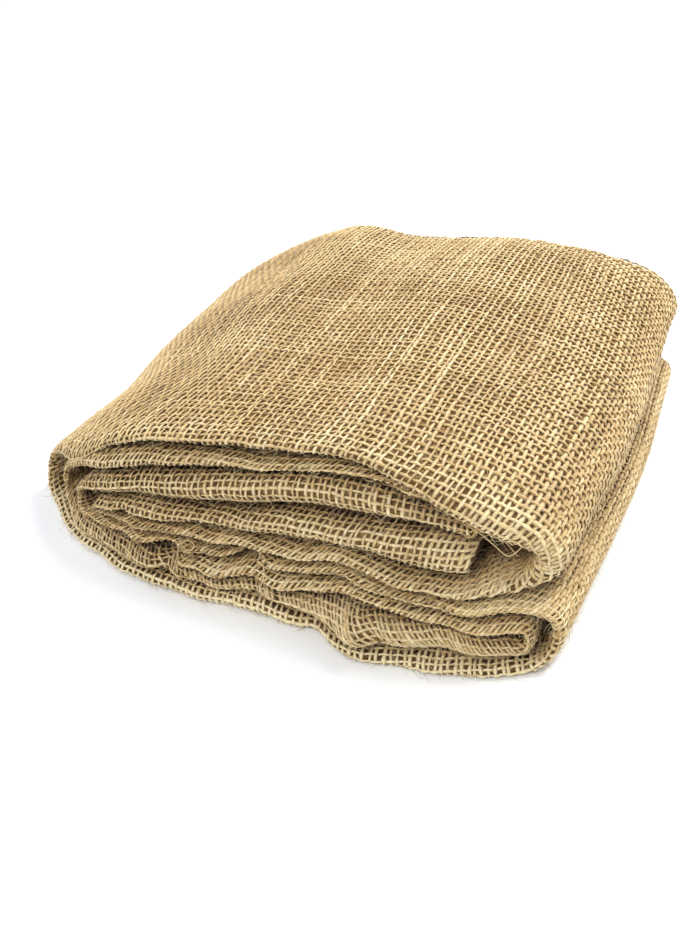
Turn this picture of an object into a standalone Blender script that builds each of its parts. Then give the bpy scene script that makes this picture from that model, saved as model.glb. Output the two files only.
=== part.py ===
"""A folded length of open-weave jute cloth, as one closed solid.

The cloth is doubled lengthways, so that its fold makes a rounded nose along the front (-Y)
and its two long edges lie at the back. That doubled strip is laid back and forth in nine
passes, one on the other. Each point of the strip comes from a route in the X-Z plane, which
says where the middle of the doubled strip runs, and a C-shaped section across it.

All sizes below are in millimetres. X runs along the front, Y to the back and Z up.
"""

import math
from collections import namedtuple

import bpy

MM = 0.001

CLOTH_THICKNESS = 1.5
GAP_BETWEEN_PASSES = 1.2
LEAST_HOLLOW = 0.6  # between the two sheets of the doubled strip
FRONT_SLOPE = 0.54  # how far the front leans back for each millimetre of height
BACK_EDGE = 141
COLUMNS = (-120, -90, -60, -30, 0, 25, 45, 65, 90)  # places in X along the passes, all shared
CLOSEST_COLUMN = 7
ROWS = (105, 60, 10, -50)  # places in Y across the sheets, from the back, all shared
TURN_STEPS = 7
TURN_HANDLE = 4 / 3  # a cubic curve reaches three quarters of the way to its handles
NOSE_ANGLES = (90, 58, 28, 0, -28, -58, -90)
SHARP_ANGLE = 50

# Heights of the gaps between the passes, measured along the front, at seven places in X
STATIONS = (-120, -80, -40, 0, 40, 80, 120)
Level = namedtuple("Level", "name m120 m80 m40 zero p40 p80 p120")
LEVELS = (
    Level("crown", 57, 70.5, 77, 81.5, 84.5, 80, 69),
    Level("under_top", 48.5, 61, 67.5, 71.5, 75, 67.8, 51),
    Level("under_1", 36, 49, 58.5, 65.5, 69, 62.7, 48),
    Level("under_2", 25, 36.5, 42, 49, 53, 57, 42),
    Level("under_3", 20.5, 26, 33, 35.5, 39.5, 37, 40),
    Level("under_4", 15.6, 20.5, 25, 28.3, 31.5, 31, 34),
    Level("under_5", 10.8, 15, 19.8, 23.5, 26.5, 26.3, 25),
    Level("under_6", 10.8, 13.8, 14.6, 15.6, 19, 20, 15),
    Level("under_7", 5.6, 7.4, 9, 10, 5.4, 5.2, 5),
    Level("floor", 0, 0, 0, 0, 0, 0, 0),
)

# The passes in the order in which one end of the strip is followed to the other. A nose is the
# depth of the rounded front fold. Its set-back moves it towards the back, at the left, the
# middle and the right of the pass, and the last column does the same for the back edge.
Pass = namedtuple("Pass", "name over under start stop nose left middle right back")
PASSES = (
    Pass("pass_6", "under_5", "under_6", -58, 121, 7, 0, -1, -1, -24),
    Pass("pass_7", "under_6", "under_7", 121, -126, 9, -1, -2, -1, -20),
    Pass("pass_1", "under_top", "under_1", -114, 92, 9, -1, -1, 5, -2),
    Pass("pass_2", "under_1", "under_2", 92, -112, 9, -1, -2, 2, 2),
    Pass("pass_5", "under_4", "under_5", -112, 110, 6, 4, 0, -1, -24),
    Pass("pass_8", "under_7", "floor", 124, -144, 5, -1, -1, -2, -26),
    Pass("pass_top", "crown", "under_top", -112, 114, 14, -2, -1, -3, 3),
    Pass("pass_4", "under_3", "under_4", 116, -113, 8, 3, -1, -1, -2),
    Pass("pass_3", "under_2", "under_3", -113, 92, 9, -1, -2, -2, 1),
)

SET_BACK_PLACES = (-90, 0, 90)
SET_BACK_LIMIT = 130  # past this X the set-back stays as it is

# How far each turn reaches in X, to the middle of the strip, in the same order
Turn = namedtuple("Turn", "reach thickness")
TURNS = (
    Turn(125.5, 7),
    Turn(-157.5, 5),
    Turn(95, 3.6),
    Turn(-136.5, 5),
    Turn(137, 8),
    Turn(-176, 5.5),
    Turn(130.5, 13),
    Turn(-115.7, 4),
)

# The foot of the front face in plan
Spot = namedtuple("Spot", "x y")
FRONT_FOOT = (
    Spot(-165, -112),
    Spot(-130, -136),
    Spot(-85, -151.5),
    Spot(-30, -157),
    Spot(25, -157.5),
    Spot(65, -162),
    Spot(100, -157),
    Spot(125, -147),
    Spot(145, -132),
)

# Where the front is pushed in or out: a place on it, how far this reaches and how deep it is
Crumple = namedtuple("Crumple", "x z reach_x reach_z push")
CRUMPLES = (
    Crumple(46, 11, 18, 8, -7),
    Crumple(-20, 24, 14, 5, 4),
    Crumple(-64, 13, 15, 6, -3),
)

# How the stack changes from the front to the back: its height, that of its left side and how
# far its two sides move out
Slice = namedtuple("Slice", "y height left_height left_out right_out")
SLICES = (
    Slice(-165, 1.0, 1.0, 3, 0),
    Slice(-110, 1.02, 1.06, 4, 0),
    Slice(-50, 1.04, 1.14, -9, 3),
    Slice(20, 1.05, 1.22, -4, 5),
    Slice(80, 1.04, 1.26, -6, 2),
    Slice(120, 1.03, 1.28, -8, 0),
    Slice(150, 0.98, 1.22, -13, -1),
)

# The stretch in X over which each side's own shape comes in
Blend = namedtuple("Blend", "start width")
LEFT_SIDE = Blend(20, 100)
RIGHT_SIDE = Blend(20, 110)

# Soft waves in the height, as a share of it, and how far along X and Y their phase grows by 1
Wave = namedtuple("Wave", "share along_x along_y")
WAVES = (Wave(0.012, 26, 40), Wave(0.010, -43, 30))

JUTE_COLOUR = (0.58, 0.41, 0.17, 1.0)
JUTE_ROUGHNESS = 0.9


def smooth_through(places, values, at):
    """A curve through all the values, read at one place and straight beyond its ends."""
    last = len(places) - 1
    slopes = []
    for i in range(last + 1):
        before, after = max(i - 1, 0), min(i + 1, last)
        slopes.append((values[after] - values[before]) / (places[after] - places[before]))
    if at <= places[0]:
        return values[0] + slopes[0] * (at - places[0])
    if at >= places[last]:
        return values[last] + slopes[last] * (at - places[last])
    i = max(k for k in range(last) if places[k] <= at)
    span = places[i + 1] - places[i]
    t = (at - places[i]) / span
    return (
        values[i] * (1 + 2 * t) * (1 - t) ** 2
        + slopes[i] * span * t * (1 - t) ** 2
        + values[i + 1] * t * t * (3 - 2 * t)
        - slopes[i + 1] * span * t * t * (1 - t)
    )


def eased(t):
    t = min(1, max(0, t))
    return t * t * (3 - 2 * t)


def level_height(name, x):
    level = next(row for row in LEVELS if row.name == name)
    return smooth_through(STATIONS, level[1:], x)


def pass_middle(row, x):
    """Height of the middle of a pass at x, and half of its thickness there."""
    top = level_height(row.over, x) - GAP_BETWEEN_PASSES / 2
    foot = level_height(row.under, x)
    if row.under != "floor":
        foot += GAP_BETWEEN_PASSES / 2
    return (top + foot) / 2, (top - foot) / 2


def set_back(row, x):
    x = max(-SET_BACK_LIMIT, min(SET_BACK_LIMIT, x))
    return smooth_through(SET_BACK_PLACES, (row.left, row.middle, row.right), x)


# One place on the route: the middle of the strip, the direction across it and its sizes
Place = namedtuple("Place", "x z angle half nose set_back back")


def pass_places(row):
    """Places along a pass, with the direction across it upright."""
    heading = 1 if row.stop > row.start else -1
    low, high = sorted((row.start, row.stop))
    shared = [x for x in COLUMNS if low + CLOSEST_COLUMN < x < high - CLOSEST_COLUMN]
    places = []
    for x in [row.start, *shared[::heading], row.stop]:
        z, half = pass_middle(row, x)
        places.append(Place(x, z, 90 * heading, half, row.nose, set_back(row, x), row.back))
    return places


def bezier(points, t):
    a, b, c, d = points
    s = 1 - t
    place = [s**3 * a[k] + 3 * s * s * t * b[k] + 3 * s * t * t * c[k] + t**3 * d[k] for k in (0, 1)]
    rate = [s * s * (b[k] - a[k]) + 2 * s * t * (c[k] - b[k]) + t * t * (d[k] - c[k]) for k in (0, 1)]
    return place, rate


def turn_places(turn, before, after):
    """Places round a turn, from the end of one pass to the start of the next."""
    ends = []
    for row, corner in ((before, before.stop), (after, after.start)):
        z, half = pass_middle(row, corner)
        rise = pass_middle(row, corner + 1)[0] - z
        handle = (turn.reach - corner) * TURN_HANDLE
        ends.append(((corner, z), (corner + handle, z + handle * rise), half, set_back(row, corner)))
    (start, leaving, half0, back0), (stop, arriving, half1, back1) = ends
    places, angles = [], []
    for i in range(TURN_STEPS + 1):
        place, rate = bezier((start, leaving, arriving, stop), i / TURN_STEPS)
        angle = math.degrees(math.atan2(rate[1], rate[0]))
        angles.append(angle - 360 * round((angle - angles[-1]) / 360) if angles else angle)
        places.append(place)
    # The passes are cut upright, so the turn's own tilt fades out towards both of its ends
    tilts = [angle - 180 * round(angle / 180) for angle in (angles[0], angles[-1])]
    turned = []
    for i in range(1, TURN_STEPS):
        t = i / TURN_STEPS
        share = eased(t)
        half = half0 * (1 - t) + half1 * t
        half += (turn.thickness / 2 - half) * math.sin(math.pi * t) ** 2
        turned.append(
            Place(
                places[i][0],
                places[i][1],
                angles[i] + 90 - tilts[0] * (1 - t) ** 3 - tilts[1] * t**3,
                half,
                before.nose * (1 - share) + after.nose * share,
                back0 * (1 - share) + back1 * share,
                before.back * (1 - share) + after.back * share,
            )
        )
    return turned


def route():
    places = []
    for i, row in enumerate(PASSES):
        places += pass_places(row)
        if i < len(TURNS):
            places += turn_places(TURNS[i], row, PASSES[i + 1])
    return places


def settled(x, y, z):
    """Swells the stack between its front and its back, and moves its two sides."""
    ys = [row.y for row in SLICES]
    _, height, left_height, left_out, right_out = (
        smooth_through(ys, [row[k] for row in SLICES], y) for k in range(5)
    )
    left = eased((-x - LEFT_SIDE.start) / LEFT_SIDE.width)
    right = eased((x - RIGHT_SIDE.start) / RIGHT_SIDE.width)
    height += (left_height - height) * left
    for wave in WAVES:
        height += wave.share * math.sin(x / wave.along_x + y / wave.along_y)
    return x - left_out * left + right_out * right, y, z * height


def front_of(place):
    foot = smooth_through([s.x for s in FRONT_FOOT], [s.y for s in FRONT_FOOT], place.x)
    front = foot + FRONT_SLOPE * place.z + place.set_back
    for row in CRUMPLES:
        off_x = (place.x - row.x) / row.reach_x
        off_z = (place.z - row.z) / row.reach_z
        front += row.push * math.exp(-(off_x**2) - off_z**2)
    return front


def wall_points(place, inset):
    """One face of the doubled cloth, from its upper back edge round the nose to the lower."""
    half = max(place.half, CLOTH_THICKNESS + LEAST_HOLLOW / 2) - inset
    front = front_of(place)
    turn = math.radians(place.angle)

    def point(y, across):
        return settled(place.x + across * math.cos(turn), y, place.z + across * math.sin(turn))

    rows = (BACK_EDGE + place.back, *ROWS)
    points = [point(y, half) for y in rows]
    for degrees in NOSE_ANGLES:
        angle = math.radians(degrees)
        reach = (place.nose - inset) * math.cos(angle)
        points.append(point(front + place.nose - reach, half * math.sin(angle)))
    points += [point(y, -half) for y in reversed(rows)]
    return points


def split(corners, points):
    """Two triangles, cut the same way in plan on every sheet, so that the sheets keep apart."""
    a, b, c, d = corners
    along = (points[c][0] - points[a][0]) * (points[c][1] - points[a][1])
    return [(a, b, c), (a, c, d)] if along > 0 else [(a, b, d), (b, c, d)]


def cloth_mesh():
    rings = []
    for place in route():
        rings.append(wall_points(place, 0) + wall_points(place, CLOTH_THICKNESS)[::-1])
    size = len(rings[0])
    wall = size // 2
    points = [point for ring in rings for point in ring]
    faces = []
    for r in range(len(rings) - 1):
        for k in range(size):
            a, b = r * size + k, r * size + (k + 1) % size
            faces += split((a, b, b + size, a + size), points)
    for base, turned in ((0, False), ((len(rings) - 1) * size, True)):
        for k in range(wall - 1):
            cap = (base + k, base + size - 1 - k, base + size - 2 - k, base + k + 1)
            faces.append(cap[::-1] if turned else cap)
    return points, faces


def centred(points):
    """The points in metres, with the origin under the middle of the stack."""
    lows = [min(p[k] for p in points) for k in range(3)]
    highs = [max(p[k] for p in points) for k in range(3)]
    middle = ((lows[0] + highs[0]) / 2, (lows[1] + highs[1]) / 2, 0)
    return [tuple((p[k] - middle[k]) * MM for k in range(3)) for p in points]


def jute_material():
    material = bpy.data.materials.new("natural_jute")
    material.use_nodes = True
    shader = material.node_tree.nodes["Principled BSDF"]
    shader.inputs["Base Color"].default_value = JUTE_COLOUR
    shader.inputs["Roughness"].default_value = JUTE_ROUGHNESS
    shader.inputs["Metallic"].default_value = 0.0
    return material


def make_cloth(collection):
    points, faces = cloth_mesh()
    mesh = bpy.data.meshes.new("folded_jute_cloth")
    mesh.from_pydata(centred(points), [], faces)
    mesh.materials.append(jute_material())
    mesh.shade_smooth()
    mesh.set_sharp_from_angle(angle=math.radians(SHARP_ANGLE))
    cloth = bpy.data.objects.new("folded_jute_cloth", mesh)
    collection.objects.link(cloth)
    return cloth


def main():
    for old in list(bpy.data.objects):
        bpy.data.objects.remove(old)
    collection = bpy.data.collections.new("folded_jute_cloth")
    bpy.context.scene.collection.children.link(collection)
    make_cloth(collection)


main()
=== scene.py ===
import math

import bpy
import numpy as np
from mathutils import Matrix, Vector
from mathutils.bvhtree import BVHTree


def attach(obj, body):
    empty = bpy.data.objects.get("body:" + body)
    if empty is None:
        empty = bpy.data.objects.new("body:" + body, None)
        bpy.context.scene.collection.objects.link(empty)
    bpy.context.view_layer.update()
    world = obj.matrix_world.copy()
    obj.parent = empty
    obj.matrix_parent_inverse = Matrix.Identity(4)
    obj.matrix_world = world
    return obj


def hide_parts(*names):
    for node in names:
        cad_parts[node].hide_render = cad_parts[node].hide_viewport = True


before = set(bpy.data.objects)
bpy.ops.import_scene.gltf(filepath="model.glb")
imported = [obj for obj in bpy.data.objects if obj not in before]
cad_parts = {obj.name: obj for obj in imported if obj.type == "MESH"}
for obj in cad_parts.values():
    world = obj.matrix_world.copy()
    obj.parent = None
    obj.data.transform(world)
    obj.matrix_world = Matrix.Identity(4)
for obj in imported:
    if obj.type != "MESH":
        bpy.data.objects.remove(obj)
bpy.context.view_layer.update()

mm = 0.001
print("frame loaded")

# The folded strip, in mm: the cloth is doubled, its fold is the front, and it lies in nine passes
strip = {
    "gapBetweenPasses": 1.2,
    "frontSlope": 0.54,  # mm to the back for each mm up
    "backEdge": 141,
    "stepInPasses": 2.0,
    "stepsInTurn": 26,
    "turnHandle": 4 / 3,
    "bunchedAtRight": 0.18,
    "setBackPlaces": (-90, 0, 90),
    "setBackLimit": 130,
    "middle": (-16.825, -9.589),  # the place in these tables that is the middle of the stack
}

# Heights of the faces between the passes, in mm, at seven places in x
stations = (-120, -80, -40, 0, 40, 80, 120)
levels = {
    "crown": (57, 70.5, 77, 81.5, 84.5, 80, 69),
    "under_top": (48.5, 61, 67.5, 71.5, 75, 67.8, 51),
    "under_1": (36, 49, 58.5, 65.5, 69, 62.7, 48),
    "under_2": (25, 36.5, 42, 49, 53, 57, 42),
    "under_3": (20.5, 26, 33, 35.5, 39.5, 37, 40),
    "under_4": (15.6, 20.5, 25, 28.3, 31.5, 31, 34),
    "under_5": (10.8, 15, 19.8, 23.5, 26.5, 26.3, 25),
    "under_6": (10.8, 13.8, 14.6, 15.6, 19, 20, 15),
    "under_7": (5.6, 7.4, 9, 10, 5.4, 5.2, 5),
    "floor": (0, 0, 0, 0, 0, 0, 0),
}

# lean is the slant of the upright yarns on the front fold: mm to the right for each mm up.
# bunched is how much closer those yarns stand than in flat cloth, waver how uneven the edge is
passColumns = "over under start stop nose left middle right back lean bunched waver"
passRows = (
    ("under_5", "under_6", -58, 121, 7, 0, -1, -1, -24, 0.5, 1.25, 1.3),
    ("under_6", "under_7", 121, -126, 9, -1, -2, -1, -20, 0.9, 1.3, 1.2),
    ("under_top", "under_1", -114, 92, 9, -1, -1, 5, -2, 0.7, 1.1, 0.6),
    ("under_1", "under_2", 92, -112, 9, -1, -2, 2, 2, 0.1, 1.0, 0.4),
    ("under_4", "under_5", -112, 110, 6, 4, 0, -1, -24, 0.8, 1.3, 1.3),
    ("under_7", "floor", 124, -144, 5, -1, -1, -2, -26, 0.1, 1.0, 0.7),
    ("crown", "under_top", -112, 114, 14, -2, -1, -3, 3, 0.1, 1.0, 0.35),
    ("under_3", "under_4", 116, -113, 8, 3, -1, -1, -2, -0.8, 1.2, 0.9),
    ("under_2", "under_3", -113, 92, 9, -1, -2, -2, 1, 0.2, 1.0, 0.5),
)
passes = [dict(zip(passColumns.split(), row)) for row in passRows]
topPass = 6

# reach: the x that a turn's curve is pulled out to. bunched: how much closer the upright yarns
# stand again at the far side of a tight turn
turns = [
    {"reach": reach, "thickness": thickness, "bunched": bunched}
    for reach, thickness, bunched in (
        (125.5, 7, 0.35),
        (-153.5, 5, 0.35),
        (95, 3.6, 0.35),
        (-136.5, 5, 0.35),
        (137, 8, 0.5),
        (-174.2, 9, 0.35),
        (130.5, 13, 0.95),
        (-115.7, 4, 0.35),
    )
]

# Where the front stands on the floor
frontFoot = {
    "x": (-165, -130, -85, -30, 25, 65, 100, 125, 145),
    "y": (-112, -136, -151.5, -157, -157.5, -162, -157, -147, -132),
}

# x, z, how far it reaches in x and z, and how far the front is pushed in there
crumples = ((46, 11, 18, 8, -7), (-20, 24, 14, 5, 4), (-64, 13, 15, 6, -3))

# How the stack has settled: at seven depths, how high it stands in all and at its left end, and
# how far its left and right sides lie out
slices = {
    "y": (-165, -110, -50, 20, 80, 120, 150),
    "height": (1.0, 1.02, 1.04, 1.05, 1.04, 1.03, 0.98),
    "leftHeight": (1.0, 1.06, 1.14, 1.22, 1.26, 1.28, 1.22),
    "leftOut": (3, 4, -9, -4, -6, -8, -13),
    "rightOut": (0, 0, 3, 5, 2, 0, -1),
}
sides = {"leftStart": 20, "leftWidth": 100, "rightStart": 20, "rightWidth": 110}
# shares of the height, and mm of x and y per radian
waves = ((0.012, 26, 40), (0.010, -43, 30))


def smoothThrough(places, values, at):
    places = np.asarray(places, float)
    values = np.asarray(values, float)
    at = np.asarray(at, float)
    padded = np.concatenate(([0], np.arange(len(places)), [len(places) - 1]))
    before, after = padded[:-2], padded[2:]
    slopes = (values[after] - values[before]) / (places[after] - places[before])
    i = np.clip(np.searchsorted(places, at, side="right") - 1, 0, len(places) - 2)
    span = places[i + 1] - places[i]
    t = np.clip((at - places[i]) / span, 0, 1)
    inside = (
        values[i] * (1 + 2 * t) * (1 - t) ** 2
        + slopes[i] * span * t * (1 - t) ** 2
        + values[i + 1] * t * t * (3 - 2 * t)
        - slopes[i + 1] * span * t * t * (1 - t)
    )
    below = slopes[0] * np.minimum(at - places[0], 0)
    above = slopes[-1] * np.maximum(at - places[-1], 0)
    return inside + below + above


def eased(t):
    t = np.clip(t, 0, 1)
    return t * t * (3 - 2 * t)


def passMiddle(row, x):
    top = smoothThrough(stations, levels[row["over"]], x) - strip["gapBetweenPasses"] / 2
    foot = smoothThrough(stations, levels[row["under"]], x)
    if row["under"] != "floor":
        foot = foot + strip["gapBetweenPasses"] / 2
    return (top + foot) / 2, (top - foot) / 2


def setBackAt(row, x):
    x = np.clip(x, -strip["setBackLimit"], strip["setBackLimit"])
    return smoothThrough(strip["setBackPlaces"], (row["left"], row["middle"], row["right"]), x)


routeColumns = "x z angle half nose setBack back lean bunched waver".split()
blended = ("nose", "back", "lean", "bunched", "waver")


def passSamples(row):
    count = max(2, int(abs(row["stop"] - row["start"]) / strip["stepInPasses"]))
    x = np.linspace(row["start"], row["stop"], count + 1)
    z, half = passMiddle(row, x)
    heading = 1 if row["stop"] > row["start"] else -1
    same = np.ones_like(x)
    values = {"x": x, "z": z, "angle": 90 * heading * same, "half": half}
    values["setBack"] = setBackAt(row, x)
    values.update({key: row[key] * same for key in blended})
    values["bunched"] = row["bunched"] * (1 + strip["bunchedAtRight"] * eased((x - 50) / 50))
    return np.array([values[key] for key in routeColumns])


def turnSamples(turn, before, after):
    ends = []
    for row, corner in ((before, before["stop"]), (after, after["start"])):
        z, half = passMiddle(row, corner)
        rise = passMiddle(row, corner + 1)[0] - z
        handle = (turn["reach"] - corner) * strip["turnHandle"]
        pull = (corner + handle, z + handle * rise)
        ends.append(((corner, z), pull, half, setBackAt(row, corner)))
    (a, b, half0, back0), (d, c, half1, back1) = ends
    a, b, c, d = (np.array(p, float)[:, None] for p in (a, b, c, d))
    t = np.arange(strip["stepsInTurn"] + 1) / strip["stepsInTurn"]
    s = 1 - t
    place = s**3 * a + 3 * s * s * t * b + 3 * s * t * t * c + t**3 * d
    rate = s * s * (b - a) + 2 * s * t * (c - b) + t * t * (d - c)
    angle = np.degrees(np.unwrap(np.arctan2(rate[1], rate[0])))
    tilts = [end - 180 * np.round(end / 180) for end in (angle[0], angle[-1])]
    share = eased(t)
    half = half0 * s + half1 * t
    half = half + (turn["thickness"] / 2 - half) * np.sin(np.pi * t) ** 2
    turned = angle + 90 - tilts[0] * s**3 - tilts[1] * t**3
    setBack = back0 * (1 - share) + back1 * share
    values = {"x": place[0], "z": place[1], "angle": turned, "half": half, "setBack": setBack}
    values.update({key: before[key] * (1 - share) + after[key] * share for key in blended})
    values["bunched"] *= 1 + turn["bunched"] * np.sin(np.pi * t) ** 2
    return np.array([values[key] for key in routeColumns])[:, 1:-1]


# A free end of the strip closes in a short round, so the doubled cloth shows no square cut
freeEnds = {"depth": 5.0, "angles": (20, 40, 58, 74, 86), "setBack": 0.8}


def freeEnd(samples, last):
    end = dict(zip(routeColumns, samples[:, -1 if last else 0]))
    heading = np.sign(math.sin(math.radians(end["angle"]))) * (1 if last else -1)
    turned = np.radians(freeEnds["angles"] if last else freeEnds["angles"][::-1])
    values = {key: value * np.ones(len(turned)) for key, value in end.items()}
    values["x"] += heading * freeEnds["depth"] * np.sin(turned)
    values["half"] *= np.cos(turned)
    values["setBack"] += end["nose"] * (1 - np.cos(turned)) * freeEnds["setBack"]
    return np.array([values[key] for key in routeColumns])


def makeRoute():
    parts = []
    spans = []
    for i, row in enumerate(passes):
        samples = passSamples(row)
        if i == 0:
            parts.append(freeEnd(samples, False))
        start = sum(part.shape[1] for part in parts)
        parts.append(samples)
        spans.append((start, start + samples.shape[1]))
        if i < len(turns):
            parts.append(turnSamples(turns[i], row, passes[i + 1]))
    parts.append(freeEnd(parts[-1], True))
    values = np.concatenate(parts, axis=1)
    return dict(zip(routeColumns, values)), spans


def settled(x, y, z):
    left = eased((-x - sides["leftStart"]) / sides["leftWidth"])
    right = eased((x - sides["rightStart"]) / sides["rightWidth"])
    height, leftHeight, leftOut, rightOut = (
        smoothThrough(slices["y"], slices[key], y)
        for key in ("height", "leftHeight", "leftOut", "rightOut")
    )
    height = height + (leftHeight - height) * left
    for share, alongX, alongY in waves:
        height = height + share * np.sin(x / alongX + y / alongY)
    out = np.stack((x - leftOut * left + rightOut * right, y, z * height), axis=-1)
    out[..., 0] -= strip["middle"][0]
    out[..., 1] -= strip["middle"][1]
    return out


def frontOf(route):
    front = smoothThrough(frontFoot["x"], frontFoot["y"], route["x"])
    front = front + strip["frontSlope"] * route["z"] + route["setBack"]
    for x, z, reachX, reachZ, push in crumples:
        away = ((route["x"] - x) / reachX) ** 2 + ((route["z"] - z) / reachZ) ** 2
        front = front + push * np.exp(-away)
    return front


def sectionPoints(route, y, across):
    turn = np.radians(route["angle"])[:, None]
    x = route["x"][:, None] + across * np.cos(turn)
    z = route["z"][:, None] + across * np.sin(turn)
    return settled(x, y, z)


# Dents and bulges of the crumpled stack, in mm in the tables' frame. slant turns the reach in x
# and z, in degrees. wall is 0 for both walls of the strip, or 1 or -1 for one of them. only names
# the one pass moved.
dentColumns = "at reach slant push wall only"
dentRows = (
    ((46, -158, 9), (9, 30, 9), 0, (0, -3.5, 1.5), 0, None),
    ((57, -156, 14), (4.6, 30, 9), 35, (0, 5, 0), 0, None),
    ((24, -156, 6), (7, 30, 6), 0, (0, 3.5, 0), 0, None),
    ((-19, -146, 24), (7, 30, 4.5), 0, (0, 8, 0), 0, None),
    ((-36, -150, 17), (9, 30, 6), -15, (0, -4, 0), 0, None),
    ((-64, -148, 15), (5, 30, 4), 10, (0, 9, 0), 0, None),
    ((-52, -150, 20), (6, 30, 6), 0, (0, -4, 0), 0, None),
    ((-84, -146, 19), (7, 30, 5), 0, (0, -3, 0), 0, None),
    ((-98, -142, 27), (5, 30, 4), 0, (0, 5, 0), 0, None),
    ((5, -152, 20), (10, 30, 5), 10, (0, -3, 0), 0, None),
    ((88, -150, 30), (12, 30, 6), 0, (0, -2, 0), 0, None),
    # the thick soft rim of the upper roll, at the right and at the left
    ((118, -140, 49), (17, 50, 15), 0, (-5, 0, -7), -1, 6),
    ((118, -140, 41), (17, 50, 12), 0, (-3, 0, 4), -1, 7),
    ((97, -138, 44), (12, 40, 8), 0, (0, 0, -4), -1, 7),
    ((88, -130, 66), (34, 26, 16), 0, (-1, -3, -6), 0, 6),
    ((-138, -128, 54), (20, 28, 20), 0, (0, -5, -9), 0, 6),
    ((-162, -118, 46), (22, 28, 20), 0, (-1, -4, -8), 0, 6),
    ((-154, -126, 42), (20, 26, 14), 0, (4, -3, -7), -1, 6),
    ((-152, -130, 18), (14, 16, 4.5), 0, (5, 3, 0), 0, None),
    ((-155, -127, 32), (13, 16, 8), 0, (-3, -2, 0), 0, 6),
    # the crease below the upper roll, all along the right side
    ((132, 50, 26.5), (10, 120, 3.5), 0, (-5, 0, -2), 1, 5),
    ((129, 50, 33), (12, 120, 4), 0, (-7, 0, 1), 1, 6),
    ((-60, 138, 80), (50, 45, 60), 0, (0, 0, -3), 0, None),
)
dents = [dict(zip(dentColumns.split(), row)) for row in dentRows]
wallBlend = 5  # mm over the front fold in which a dent passes from one wall to the other
fadeRings = 6

# The edge of each fold wavers: how far, in mm of its length per radian, and a start
wavers = {
    "front": ((0.9, 7.3, 0.4), (0.6, 4.1, 1.9), (1.1, 19.0, 2.2)),
    "height": ((0.30, 8.7, 1.1), (0.35, 15.0, 0.2)),
    "reach": 22.0,
    "overFloor": 6,  # the edge is steady on the floor and wavers in full from this height on
    "lowest": 12,  # the flats wave softly from here on, in full so much higher
    "overHeight": 30,
    "flat": ((0.45, 17.0, 23.0, 0.5), (0.35, -29.0, 14.0, 1.7), (0.20, 8.0, 37.0, 0.2)),
}


def crumpled(points, along, b, out, spans, waver):
    flat = 1 - np.exp(-((b / wavers["reach"]) ** 2))
    near = (1 - flat) * waver[:, None]
    offFloor = np.minimum(points[..., 2] / wavers["overFloor"], 1)
    moved = points.copy()
    for far, length, start in wavers["front"]:
        moved[..., 1] += far * np.sin(along / length + start)[:, None] * near
    for far, length, start in wavers["height"]:
        moved[..., 2] += far * np.sin(along / length + start)[:, None] * near * offFloor
    x = points[..., 0] + strip["middle"][0]
    y = points[..., 1] + strip["middle"][1]
    z = points[..., 2]
    for far, lengthX, lengthY, start in wavers["flat"]:
        soft = far * np.sin(x / lengthX + y / lengthY + start) * flat
        moved += out * (soft * np.clip((z - wavers["lowest"]) / wavers["overHeight"], 0, 1))[..., None]
    rings = np.arange(len(along))
    reachOut = strip["stepsInTurn"] + 4  # a dent in one pass fades out in the turns beside it
    for dent in dents:
        turn = math.radians(dent["slant"])
        reach = dent["reach"]
        dx, dy, dz = x - dent["at"][0], y - dent["at"][1], z - dent["at"][2]
        away = ((dx * math.cos(turn) + dz * math.sin(turn)) / reach[0]) ** 2
        away += ((dz * math.cos(turn) - dx * math.sin(turn)) / reach[2]) ** 2 + (dy / reach[1]) ** 2
        share = np.exp(-away)
        if dent["wall"]:
            share = share * 0.5 * (1 + np.tanh(dent["wall"] * b / wallBlend))
        if dent["only"] is not None:
            start, stop = spans[dent["only"]]
            before = eased((rings - start + reachOut) / fadeRings)
            after = eased((stop + reachOut - rings) / fadeRings)
            share = share * (before * after)[:, None]
        moved += share[..., None] * np.array(dent["push"])
    return moved


def toLinear(code):
    channels = [int(code[i : i + 2], 16) / 255 for i in (1, 3, 5)]
    return [c / 12.92 if c <= 0.04045 else ((c + 0.055) / 1.055) ** 2.4 for c in channels] + [1.0]


def addNode(tree, kind, settings=None, links=None):
    node = tree.nodes.new(kind)
    for key, value in (settings or {}).items():
        if key in node.inputs and not hasattr(node, key):
            node.inputs[key].default_value = value
        elif hasattr(node, key):
            setattr(node, key, value)
        else:
            node.inputs[int(key)].default_value = value
    for socket, source in (links or {}).items():
        tree.links.new(source, node.inputs[int(socket) if socket.isdigit() else socket])
    return node


def setRamp(node, stops):
    ramp = node.color_ramp
    while len(ramp.elements) < len(stops):
        ramp.elements.new(0.5)
    for element, (place, colour) in zip(ramp.elements, stops):
        element.position = place
        element.color = toLinear(colour)


def newMaterial(name):
    material = bpy.data.materials.new(name)
    material.use_nodes = True
    tree = material.node_tree
    return material, tree, tree.nodes["Principled BSDF"]


def joinedMesh(name, points, faces, material):
    mesh = bpy.data.meshes.new(name)
    mesh.from_pydata(points, [], faces)
    mesh.materials.append(material)
    mesh.shade_smooth()
    piece = bpy.data.objects.new(name, mesh)
    bpy.context.scene.collection.objects.link(piece)
    return piece


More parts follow.
